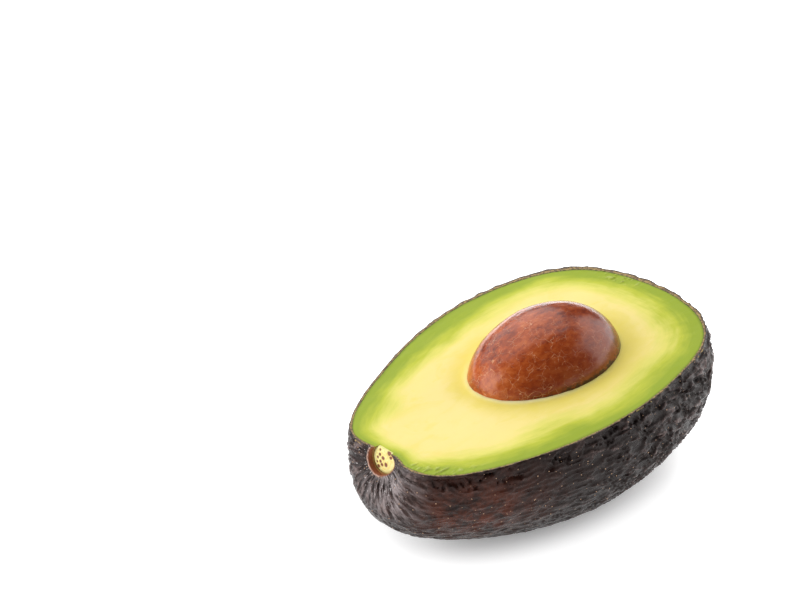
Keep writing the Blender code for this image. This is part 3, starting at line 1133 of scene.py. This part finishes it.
@dataclass
class Peel:
    """The peel: pebbled skin, cut edge and the lining against the flesh, as one closed shell."""

    layers: FruitLayers
    kit: MeshKit
    cells: tuple[int, int] = (400, 290)
    lining_shares: tuple[float, ...] = (0.995, 0.98, 0.95, 0.9, 0.8, 0.65, 0.5, 0.35, 0.2, 0.08)
    edge_shares: tuple[float, ...] = (0.10, 0.32, 0.55, 0.78, 0.93)
    edge_bumps: float = 0.00014
    blush_place: Triple = (-0.0360, -0.0215, -0.0125)
    blush_reach: float = 0.0105
    stem_sheen_turn: float = 0.62
    edge_depth: float = 0.004
    lining_drop: float = 0.00010
    recess_radius: Span = (0.00386, 0.00374)
    recess_mouth: Span = (0.0008, 0.0002)
    recess_end: Span = (-0.0070, -0.0060)
    cut_level: float = -0.0004
    cut_slope: float = 0.6

    def square_grid(self) -> tuple[Array, Array, Array]:
        """A grid over the square from -1 to 1.

        Returns:
            Its points, its quads facing down, and its rim as indices in order.
        """
        columns, rows = self.cells
        x, y = np.meshgrid(np.linspace(-1.0, 1.0, columns + 1), np.linspace(-1.0, 1.0, rows + 1))
        index = np.arange(x.size).reshape(x.shape)
        quads = np.stack((index[:-1, :-1], index[1:, :-1], index[1:, 1:], index[:-1, 1:]), axis=-1)
        rim = np.concatenate((index[0, :-1], index[:-1, -1], index[-1, :0:-1], index[:0:-1, 0]))
        return np.stack((x.ravel(), y.ravel()), axis=1), quads.reshape(-1, 4), rim

    def outer_points(self, square: Array, rim: Array) -> tuple[Array, Array]:
        """Wrap the grid over the fruit, its rim on the knife's plane.

        Args:
            square: Points of the square grid.
            rim: Indices of its rim.

        Returns:
            The points, and the turns of the rim.
        """
        radius, turn = disc_angles(square)
        rim_turn = turn[rim]
        limit = self.layers.outer_limit(rim_turn)
        order = np.argsort(np.mod(rim_turn, 2.0 * math.pi))
        known = np.mod(rim_turn, 2.0 * math.pi)[order]
        fall = radius * np.interp(np.mod(turn, 2.0 * math.pi), known, limit[order], period=2.0 * math.pi)
        points = self.layers.outer(ball_points(fall, turn))
        points[rim, 2] = 0.0
        return points, rim_turn

    def build(self) -> bpy.types.Object:
        """Build and dress the peel."""
        square, quads, rim = self.square_grid()
        outer, turn = self.outer_points(square, rim)
        inset = self.layers.edge_inset(turn)
        limit = self.layers.joint_limit(turn, inset)
        inner_rim = self.layers.joint(ball_points(limit, turn), inset)
        inner_rim[:, 2] = 0.0
        blocks, rows = [outer], [rim]
        count = len(outer)
        for share in self.edge_shares:
            ring = outer[rim] + (inner_rim - outer[rim]) * share
            ring[:, 2] += self.edge_bumps * math.sin(math.pi * share) * (0.4 + soft_noise(ring, 0.0009, 2.2))
            blocks.append(ring)
        blocks.append(inner_rim - (0.0, 0.0, self.lining_drop))
        for share in self.lining_shares:
            depth = self.layers.peel + (inset - self.layers.peel) * max(0.0, 20.0 * share - 19.0)
            blocks.append(self.layers.joint(ball_points(share * limit, turn), depth))
        for block in blocks[1:]:
            rows.append(np.arange(count, count + len(block)))
            count += len(block)
        faces = quads.tolist() + ring_faces(rows) + fan_faces(rows[-1], count)
        piece = self.kit.add("avocado_peel", np.concatenate((*blocks, self.layers.bottom())), faces)
        self.kit.cut_away(piece, StemPlug(self.layers, self.kit).recess())
        self.kit.shade(piece, 50.0)
        self.dress(piece, outer[rim], inner_rim)
        return piece

    def dress(self, piece: bpy.types.Object, outer_rim: Array, inner_rim: Array) -> None:
        """Give the peel its finishes and the numbers that they read.

        Args:
            piece: The peel.
            outer_rim: Points of the rim on the skin.
            inner_rim: Points of the rim on the joint with the flesh.
        """
        relief = self.layers.relief
        points = self.kit.positions(piece)
        radius, height, turn = relief.stem_places(points)
        tree = point_tree(outer_rim)
        share = np.ones(len(points))
        for index in np.flatnonzero(points[:, 2] > -self.edge_depth):
            _, nearest, distance = tree.find(Vector(points[index]))
            share[index] = distance / np.linalg.norm(inner_rim[nearest] - outer_rim[nearest])
        # Where the stem end's painted sheen lies: a lobe on one side of the stem, near it.
        painted_stem_sheen = lobe(turn, self.stem_sheen_turn, 2.2) * ramp(radius, (0.019, 0.007))
        in_recess = ramp(radius, self.recess_radius) * ramp(height, self.recess_mouth)
        from_blush = np.linalg.norm((points - np.array(self.blush_place)) * (0.62, 1.0, 1.0), axis=1)
        told = {
            "relief_mm": self.height_over(points) / MM,
            "stem_mm": np.linalg.norm(points - relief.stem_pole, axis=1) / MM,
            "stem_turn": turn,
            "painted_stem_sheen": painted_stem_sheen * ramp(height, (-0.022, -0.012)),
            "edge_share": share,
            "lip": ramp(relief.lip(points), (0.35, 0.8)),
            "recess": in_recess * ramp(height, self.recess_end),
            "blush": mound(from_blush, self.blush_reach),
        }
        for name, values in told.items():
            self.kit.tell(piece, name, values)
        piece.data.materials.clear()
        piece.data.materials.append(SkinFinish().build())
        piece.data.materials.append(EdgeFinish().build())
        faces = piece.data.polygons
        middles, normals = np.zeros(len(faces) * 3), np.zeros(len(faces) * 3)
        faces.foreach_get("center", middles)
        faces.foreach_get("normal", normals)
        top = (middles[2::3] > self.cut_level) & (normals[2::3] > self.cut_slope)
        faces.foreach_set("material_index", top.astype(np.int32))
        piece.data.update()

    def height_over(self, points: Array) -> Array:
        """Height of points over the smooth skin, from the nearest of many points of it."""
        ball = spread_ball(60000)
        smooth = self.layers.form.skin(ball)
        normals = self.layers.form.normals(ball)
        tree = point_tree(smooth)
        nearest = np.array([tree.find(Vector(point))[1] for point in points])
        return ((points - smooth[nearest]) * normals[nearest]).sum(axis=1)


@dataclass(frozen=True)
class SeedForm:
    """The seed's smooth form: a ball drawn out and blunt at one end."""

    centre: Triple = (0.0065, 0.0003, -0.0018)
    radii: Triple = (0.0211, 0.0154, 0.0144)
    turn: float = math.radians(-2.5)
    blunt: float = 0.06

    def shaped(self, ball: Array, extra: float = 0.0) -> Array:
        """Points of the seed for points of the unit ball.

        Args:
            ball: Points of the unit ball, one row each.
            extra: How much larger each radius is, in metres.

        Returns:
            The points in the fruit's frame.
        """
        x = ball[:, 0]
        girth = 1.0 + self.blunt * x * (1.0 - x * x)
        local = np.stack((x, ball[:, 1] * girth, ball[:, 2] * girth), axis=1) * (np.array(self.radii) + extra)
        cosine, sine = math.cos(self.turn), math.sin(self.turn)
        far = local[:, 0] * cosine - local[:, 1] * sine
        across = local[:, 0] * sine + local[:, 1] * cosine
        return np.array(self.centre) + np.stack((far, across, local[:, 2]), axis=1)

    def ball(self, levels: int) -> tuple[Array, list]:
        """An even net over the unit ball, as its points and triangles."""
        net = bmesh.new()
        bmesh.ops.create_icosphere(net, subdivisions=levels, radius=1.0)
        points = np.array([vert.co for vert in net.verts])
        faces = [[vert.index for vert in face.verts] for face in net.faces]
        net.free()
        return points, faces

    def bearing(self, points: Array) -> Array:
        """The turn of each point about the seed's centre, seen from above."""
        return np.arctan2(points[:, 1] - self.centre[1], points[:, 0] - self.centre[0])

    def smooth_points(self, levels: int) -> Array:
        """Points of the smooth seed."""
        return self.shaped(self.ball(levels)[0])

    def cut_ring(self, turn: Array, height: Array, extra: float) -> Array:
        """Where a level plane cuts the seed, in the given directions from its centre.

        Args:
            turn: Directions in the plane, in the seed's own turn.
            height: Height of the plane over the cut face, for each direction.
            extra: How much larger the seed is taken.

        Returns:
            The points of the ring.
        """
        rise = np.clip((height - self.centre[2]) / (self.radii[2] + extra), -0.99, 0.99)
        ring = np.sqrt(1.0 - rise ** 2)
        ball = np.stack((ring * np.cos(turn), ring * np.sin(turn), rise), axis=1)
        points = self.shaped(ball, extra)
        points[:, 2] = height
        return points


@dataclass
class Flesh:
    """The flesh: the cut face with its fine relief, the seed's hollow, and the side under the peel."""

    layers: FruitLayers
    kit: MeshKit
    seed: SeedForm
    columns: int = 960
    rows: int = 96
    tuck: float = 0.00012
    lip_height: float = 0.00030
    lip_reach: float = 0.0010
    sink: float = 0.0004
    hollow_shares: tuple[float, ...] = (0.985, 0.94, 0.85, 0.7, 0.5, 0.3, 0.12)
    under_shares: tuple[float, ...] = (0.99, 0.975, 0.96, 0.93, 0.9, 0.8, 0.65, 0.5, 0.35, 0.2, 0.08)
    face_depth: float = 0.0012
    green_width: Triple = (1.08, 2.2, 0.55)
    pale_stem_reach: float = 0.0105
    scar_radius: Span = (0.0039, 0.0037)
    hollow_reach: float = 0.022
    hollow_depth: float = 0.020
    far_off: float = 0.030
    rim_drop: float = 0.00006
    wave_height: float = 0.00010
    ripple_height: float = 0.00003
    scuff_spots: tuple[tuple[Span, float, float], ...] = (
        ((-0.0400, -0.0145), 0.0075, 0.00035), ((0.0440, 0.0125), 0.0042, 0.00055),
    )

    def face_relief(self, points: Array, from_rim: Array, from_seed: Array) -> Array:
        """Height of the cut face over the knife's plane.

        Args:
            points: Points of the plane.
            from_rim: Their distance from the peel.
            from_seed: Their distance from the seed.

        Returns:
            The height in metres.
        """
        still = ramp(from_rim, (0.0, 0.0015))
        waves = self.wave_height * soft_noise(points, 0.009, 3.3)
        waves += self.ripple_height * soft_noise(points, 0.0022, 6.1)
        turn = self.seed.bearing(points)
        fuller = 0.35 + 0.65 * lobe(turn, math.radians(-140.0), 1.6)
        crumble = 1.0 + 0.3 * soft_noise(points, 0.0022, 8.8)
        lip = self.lip_height * mound(from_seed, self.lip_reach) * fuller * crumble
        return waves * still + lip + self.scuffs(points, from_rim)

    def scuffs(self, points: Array, from_rim: Array) -> Array:
        """Small torn flakes beside the peel, at the stem end's front and at the far blossom side."""
        total = np.zeros(len(points))
        for place, reach, height in self.scuff_spots:
            near = mound(np.hypot(points[:, 0] - place[0], points[:, 1] - place[1]), reach)
            torn = ramp(soft_noise(points * (1.0, 2.2, 1.0), 0.0016, 1.9), (0.08, 0.42))
            beside_peel = ramp(from_rim, (0.0001, 0.0006)) * ramp(from_rim, (0.0042, 0.0018))
            total += height * near * torn * beside_peel
        return total

    def build(self) -> bpy.types.Object:
        """Build and dress the flesh."""
        turn = np.linspace(-math.pi, math.pi, self.columns, endpoint=False)
        inset = self.layers.edge_inset(turn) - self.tuck
        limit = self.layers.joint_limit(turn, inset)
        rim = self.layers.joint(ball_points(limit, turn), inset)
        rim[:, 2] = 0.0
        own = self.seed.bearing(rim) - self.seed.turn
        stretch = np.arctan2(np.sin(own) / self.seed.radii[1], np.cos(own) / self.seed.radii[0])
        inner = self.seed.cut_ring(stretch, np.zeros(self.columns), -self.sink)
        steps = np.linspace(0.0, 1.0, self.rows)
        shares = 0.5 * (steps ** 1.15 + (1.0 - (1.0 - steps) ** 1.3))
        face = [rim + (inner - rim) * share for share in shares]
        flat = np.concatenate(face)
        from_rim = self.ring_distance(flat, rim) - self.tuck
        from_seed = np.maximum(self.ring_distance(flat, inner) - self.sink, 0.0)
        flat[:, 2] += self.face_relief(flat, np.maximum(from_rim, 0.0), from_seed)
        flat[:self.columns, 2] = -self.rim_drop
        lifted = flat[-self.columns:, 2]
        hollow = [self.sunk_ring(stretch, lifted, share) for share in self.hollow_shares]
        under = [self.layers.joint(ball_points(share * limit, turn), np.full(self.columns, self.layers.peel))
                 for share in self.under_shares]
        return self.join(flat, hollow, under)

    def sunk_ring(self, stretch: Array, lifted: Array, share: float) -> Array:
        """One ring of the hollow's wall, lower and tighter as the share falls."""
        deepest = self.seed.centre[2] - self.seed.radii[2] + 2.0 * self.sink
        return self.seed.cut_ring(stretch, lifted + (deepest - lifted) * math.sqrt(1.0 - share), -self.sink)

    def join(self, flat: Array, hollow: list, under: list) -> bpy.types.Object:
        """Join the face, the hollow and the under side into one closed piece, and dress it.

        Args:
            flat: Points of the cut face, ring by ring from the peel to the seed.
            hollow: Rings of the hollow's wall, downwards.
            under: Rings of the side under the peel, downwards.

        Returns:
            The piece.
        """
        columns = self.columns
        count = len(flat)
        top_rows = list(np.arange(count).reshape(-1, columns))
        hollow_rows = [top_rows[-1]]
        under_rows = [top_rows[0]]
        for block, rows in ((hollow, hollow_rows), (under, under_rows)):
            for _ in block:
                rows.append(np.arange(count, count + columns))
                count += columns
        middle = self.seed.shaped(np.array([[0.0, 0.0, -1.0]]), -2.0 * self.sink)
        faces = ring_faces(top_rows) + ring_faces(hollow_rows) + ring_faces(under_rows, flip=True)
        faces += fan_faces(hollow_rows[-1], count) + fan_faces(under_rows[-1], count + 1, flip=True)
        points = np.concatenate((flat, *hollow, *under, middle, self.layers.bottom()))
        piece = self.kit.add("avocado_flesh", points, faces)
        self.kit.cut_away(piece, StemPlug(self.layers, self.kit).recess(shallow=True))
        self.kit.shade(piece, 50.0)
        self.dress(piece, flat[:columns], flat[-columns:])
        return piece

    @staticmethod
    def ring_distance(points: Array, ring: Array) -> Array:
        """Distance in the plane from a closed line of points."""
        level = (1.0, 1.0, 0.0)
        tree = point_tree(ring * level)
        return np.array([tree.find(Vector(point))[2] for point in points * level])

    def dress(self, piece: bpy.types.Object, rim: Array, inner: Array) -> None:
        """Give the flesh its finish and the numbers that it reads."""
        points = self.kit.positions(piece)
        on_face = points[:, 2] > -self.face_depth
        from_rim, from_seed = np.zeros(len(points)), np.full(len(points), self.far_off)
        from_rim[on_face] = self.ring_distance(points[on_face], rim)
        from_seed[on_face] = np.maximum(self.ring_distance(points[on_face], inner) - self.sink, 0.0)
        from_centre = np.linalg.norm(points - np.array(self.seed.centre), axis=1)
        from_rim[~on_face & (from_centre < self.hollow_reach)] = self.hollow_depth
        relief = self.layers.relief
        from_stem = np.linalg.norm(points - relief.stem_pole, axis=1)
        wide = self.green_width[0] + self.green_width[1] * mound(from_stem, self.pale_stem_reach)
        wide += self.green_width[2] * soft_noise(points, 0.020, 4.9)
        side = self.seed.bearing(points)
        lower_left = lobe(side, math.radians(-150.0), 2.0)
        torn = np.clip(self.scuffs(points, from_rim) / 0.00020, 0.0, 1.0)
        radius, _, _ = relief.stem_places(points)
        told = {
            "rim_mm": from_rim / MM,
            "depth_mm": from_rim / MM * wide,
            "seed_mm": from_seed / MM,
            # Painted highlight on the lower-left side of the lip beside the seed, and on the torn flakes.
            "lip_highlight_share": np.maximum(0.8 * mound(from_seed, 0.0008) * lower_left, 0.15 * torn),
            "scar_share": ramp(radius, self.scar_radius) * ramp(points[:, 2], (-0.0002, -0.0006)),
        }
        for name, values in told.items():
            self.kit.tell(piece, name, values)
        piece.data.materials.clear()
        piece.data.materials.append(FleshFinish().build())


@dataclass
class Seed:
    """The seed in its coat."""

    form: SeedForm
    kit: MeshKit
    levels: int = 7
    lumps: float = 0.00022
    wrinkles: float = 0.00005

    def build(self) -> bpy.types.Object:
        """Build and dress the seed."""
        ball, faces = self.form.ball(self.levels)
        smooth = self.form.shaped(ball)
        relief = self.lumps * (soft_noise(smooth, 0.011, 2.1) - 0.5)
        relief += self.wrinkles * (soft_noise(smooth * (0.5, 1.0, 1.0), 0.0016, 5.5) - 0.7)
        outward = unit(ball / np.array(self.form.radii))
        points = smooth + outward * relief[:, None]
        piece = self.kit.add("avocado_seed", points, faces)
        side = np.arctan2(ball[:, 1], ball[:, 0])
        # The band of painted shade at the seed's foot reaches higher on its lower-right side.
        keen = ramp(np.cos(side - math.radians(-45.0)), (0.0, 0.7))
        self.kit.tell(piece, "waterline_shade_mm", points[:, 2] / MM + 1.8 * (1.0 - keen))
        piece.data.materials.append(SeedFinish().build())
        return piece


@dataclass
class StemPlug:
    """The plug of stem: a low cork disc in its recess, its top cut off by the knife."""

    layers: FruitLayers
    kit: MeshKit
    radius: float = 0.0035
    recess_depth: float = 0.00140
    length: float = 0.0030
    crown: float = 0.0003
    tilt: float = -0.00025
    gap: float = 0.00012
    sides: int = 120
    rings: int = 30
    dot_depth: float = 0.00022
    trim_drop: float = 0.00006
    dots: tuple[Triple, ...] = (
        (-1.6, 1.9, 0.37), (-1.4, 0.7, 0.45), (1.3, 2.0, 0.67), (-2.0, -0.2, 0.37),
        (-0.3, 0.2, 0.56), (2.0, 1.2, 0.45), (-1.0, -0.9, 0.43), (-2.1, -1.4, 0.37),
        (-1.5, -2.4, 0.54), (-0.4, -1.6, 0.48), (0.8, -1.1, 0.6),
    )

    def frame(self) -> tuple[Array, Array, Array, Array]:
        """The stem's pole, its side and rise directions, and its axis out of the fruit."""
        return self.layers.relief.stem_pole, *self.layers.form.stem_frame

    def turned(self, radii: Array, heights: Array, sides: int) -> tuple[Array, list]:
        """A closed round body about the stem's axis.

        Args:
            radii: Radius of each ring, from the outer face's middle round to the back's middle.
            heights: Height of each ring out along the axis.
            sides: Corners of each ring.

        Returns:
            Its points and faces.
        """
        pole, side, rise, axis = self.frame()
        turn = np.linspace(0.0, 2.0 * math.pi, sides, endpoint=False)
        circle = np.cos(turn)[:, None] * side + np.sin(turn)[:, None] * rise
        rings = [pole + radius * circle + height * axis for radius, height in zip(radii, heights)]
        rows = list(np.arange(len(rings) * sides).reshape(-1, sides))
        front, back = len(rings) * sides, len(rings) * sides + 1
        tips = np.stack((pole + heights[0] * axis, pole + heights[-1] * axis))
        faces = ring_faces(rows, flip=True) + fan_faces(rows[0], front)
        return np.concatenate((*rings, tips)), faces + fan_faces(rows[-1], back, flip=True)

    def recess(self, shallow: bool = False) -> bpy.types.Object:
        """The room for the plug, as a cutter that is a little wider at its mouth.

        Args:
            shallow: End it close behind the plug's face, where the flesh has grown round the stem.

        Returns:
            The cutter.
        """
        radius = self.radius + self.gap
        floor = -self.recess_depth - (abs(self.tilt) + self.gap if shallow else self.length + self.gap)
        radii = np.array((radius + 0.0012, radius + 0.0010, radius + 0.00012, radius, radius))
        heights = np.array((0.0080, 0.0030, 0.0002, -0.0002, floor))
        points, faces = self.turned(radii, heights, self.sides)
        return self.kit.add("stem_room", points, faces)

    def face_heights(self, places: Array) -> Array:
        """Relief of the outer face: a low crown, an edge that rounds off, sunken dots and grain."""
        radius = np.hypot(places[:, 0], places[:, 1])
        crown = self.crown * (1.0 - (radius / self.radius) ** 2)
        edge = -0.00018 * ramp(radius, (self.radius - 0.0004, self.radius))
        grain = 0.00006 * soft_noise(np.column_stack((places, 0.0 * radius)), 0.0005, 3.7)
        lean = self.tilt * places[:, 0] / self.radius
        return crown + lean + edge + grain - self.dot_depth * self.dot_share(places)

    def dot_share(self, places: Array) -> Array:
        """How far a place of the face lies in a dot, from 0 to 1."""
        share = np.zeros(len(places))
        for across, upward, size in self.dots:
            apart = np.hypot(places[:, 0] - across * MM, places[:, 1] - upward * MM)
            share = np.maximum(share, mound(apart, size * MM))
        return share

    def build(self) -> bpy.types.Object:
        """Build and dress the plug."""
        steps = np.linspace(1.0 / self.rings, 1.0, self.rings)
        radii = np.concatenate((self.radius * steps, (self.radius, self.radius, 0.5 * self.radius)))
        back = -self.recess_depth - self.length
        behind = (0.5 * (back - self.recess_depth), back, back)
        heights = np.concatenate((np.full(self.rings, -self.recess_depth), behind))
        points, faces = self.turned(radii, heights, self.sides)
        pole, side, rise, axis = self.frame()
        on_face = np.zeros(len(points), bool)
        on_face[:self.rings * self.sides] = True
        on_face[-2] = True
        places = np.stack(((points - pole) @ side, (points - pole) @ rise), axis=1)
        points[on_face] += self.face_heights(places[on_face])[:, None] * axis
        piece = self.kit.add("stem_scar", points, faces)
        self.trim(piece)
        self.dress(piece)
        return piece

    def trim(self, piece: bpy.types.Object) -> None:
        """Cut the plug off at the knife's plane and close it there."""
        net = bmesh.new()
        net.from_mesh(piece.data)
        geometry = net.verts[:] + net.edges[:] + net.faces[:]
        cut = bmesh.ops.bisect_plane(net, geom=geometry, dist=1e-7, plane_co=(0.0, 0.0, -self.trim_drop),
                                     plane_no=(0.0, 0.0, 1.0), clear_outer=True)
        edges = [item for item in cut["geom_cut"] if isinstance(item, bmesh.types.BMEdge)]
        bmesh.ops.holes_fill(net, edges=edges, sides=0)
        net.to_mesh(piece.data)
        net.free()
        self.kit.shade(piece, 35.0)

    def dress(self, piece: bpy.types.Object) -> None:
        """Give the plug its finish and the numbers that it reads."""
        pole, side, rise, axis = self.frame()
        points = self.kit.positions(piece)
        offset = points - pole
        places = np.stack((offset @ side, offset @ rise), axis=1)
        radius = np.hypot(places[:, 0], places[:, 1])
        outside = ramp(offset @ axis, (-0.0030, -0.0025))
        self.kit.tell(piece, "dot", self.dot_share(places) * outside)
        self.kit.tell(piece, "rim_share", ramp(radius, (self.radius - 0.0011, self.radius - 0.0003)))
        self.kit.tell(piece, "on_cut", (points[:, 2] > -self.trim_drop - 0.00002).astype(float))
        piece.data.materials.append(StemFinish().build())


@dataclass
class Studio:
    """The white floor, the soft lights and the camera."""

    place: FruitPlace
    camera_offset: Triple = (-0.4521, -0.48676, 0.39576)
    view_direction: Triple = (0.5626, 0.6637, -0.4930)
    lens: float = 144.0
    floor_radius: float = 4.0
    world_light: float = 0.10
    light_distance: float = 0.9
    lights: tuple[tuple[str, float, float, float, float], ...] = (
        ("light_back", 84.0, 52.0, 1.30, 10.6),
        ("light_left", 160.0, 20.0, 0.75, 6.4),
        ("light_right", 346.0, 22.0, 0.95, 6.0),
    )

    def floor(self) -> bpy.types.Object:
        """A wide round floor at the height the fruit rests on."""
        sides = 96
        net = bmesh.new()
        bmesh.ops.create_circle(net, cap_ends=True, segments=sides, radius=self.floor_radius)
        data = bpy.data.meshes.new("floor")
        net.to_mesh(data)
        net.free()
        data.materials.append(FloorFinish().build())
        piece = placed("floor", data)
        piece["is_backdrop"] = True
        return piece

    def light(self, name: str, azimuth: float, elevation: float, size: float,
              power: float) -> bpy.types.Object:
        """A square soft light that faces the fruit.

        Args:
            name: The light's name.
            azimuth: Where it stands, in degrees round from +X towards +Y.
            elevation: How high it stands, in degrees.
            size: Its side, in metres.
            power: Its power, in watts.

        Returns:
            The light.
        """
        data = bpy.data.lights.new(name, "AREA")
        data.size = size
        data.energy = power
        lamp = placed(name, data)
        turn, rise = math.radians(azimuth), math.radians(elevation)
        toward = Vector((math.cos(turn) * math.cos(rise), math.sin(turn) * math.cos(rise), math.sin(rise)))
        lamp.location = toward * self.light_distance
        lamp.rotation_mode = "QUATERNION"
        lamp.rotation_quaternion = toward.to_track_quat("Z", "Y")
        return lamp

    def world(self) -> None:
        """Even white light from all round."""
        world = bpy.data.worlds.new("white_room")
        world.use_nodes = True
        background = world.node_tree.nodes["Background"]
        background.inputs["Color"].default_value = (1.0, 1.0, 1.0, 1.0)
        background.inputs["Strength"].default_value = self.world_light
        bpy.context.scene.world = world

    def camera(self) -> bpy.types.Object:
        """The camera at the photograph's angle."""
        data = bpy.data.cameras.new("camera")
        data.lens = self.lens
        data.sensor_width = 36.0
        data.clip_start = 0.01
        data.clip_end = 50.0
        camera = placed("camera", data)
        camera.location = self.place.matrix.translation + Vector(self.camera_offset)
        camera.rotation_mode = "QUATERNION"
        camera.rotation_quaternion = Vector(self.view_direction).to_track_quat("-Z", "Y")
        bpy.context.scene.camera = camera
        return camera

    def build(self) -> None:
        """Set up the floor, the lights, the room and the camera."""
        self.floor()
        self.world()
        for light in self.lights:
            self.light(*light)
        self.camera()
        bpy.context.scene.view_settings.view_transform = "Standard"


def keep_inside(piece: bpy.types.Object, box: Box, slack: float = 0.00002) -> None:
    """Press a piece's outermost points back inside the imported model's box.

    Args:
        piece: The piece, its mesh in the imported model's frame.
        box: Lowest and highest corner of the box.
        slack: How far inside its sides and top they stay, in metres.
    """
    low = np.array(box[0]) + slack * np.array((1.0, 1.0, 0.0))
    high = np.array(box[1]) - slack
    points = np.clip(MeshKit.positions(piece), low, high)
    piece.data.vertices.foreach_set("co", points.astype(np.float32).ravel())
    piece.data.update()


def attach(piece: bpy.types.Object, node: str, box: Box) -> None:
    """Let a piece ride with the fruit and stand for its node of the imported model.

    Args:
        piece: The finished piece, in the fruit's frame.
        node: The node that it stands for, whose material slot has the same name.
        box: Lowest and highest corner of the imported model.
    """
    piece.data.transform(piece.matrix_world)
    piece.matrix_world = Matrix.Identity(4)
    keep_inside(piece, box)
    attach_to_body(piece, "root")
    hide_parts(node)
    logging.info("%s stands for %s: %d faces", piece.name, node, len(piece.data.polygons))


def main() -> None:
    """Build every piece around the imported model."""
    logging.basicConfig(level=logging.INFO, format="%(message)s")
    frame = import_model()
    packed_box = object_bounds()
    slots = [row["slot"] for row in frame["record"]["materials"]]
    logging.info("packed model: nodes %s, slots %s", sorted(frame["nodes"]), slots)
    form, seed_form = FruitForm(), SeedForm()
    place = FruitPlace(form, seed_form)
    kit = MeshKit(place)
    layers = FruitLayers(form, SkinRelief(form))
    attach(Peel(layers, kit).build(), "peel", packed_box)
    attach(Flesh(layers, kit, seed_form).build(), "flesh", packed_box)
    attach(Seed(seed_form, kit).build(), "seed", packed_box)
    attach(StemPlug(layers, kit).build(), "stem_plug", packed_box)
    Studio(place).build()


if __name__ == "__main__":
    main()
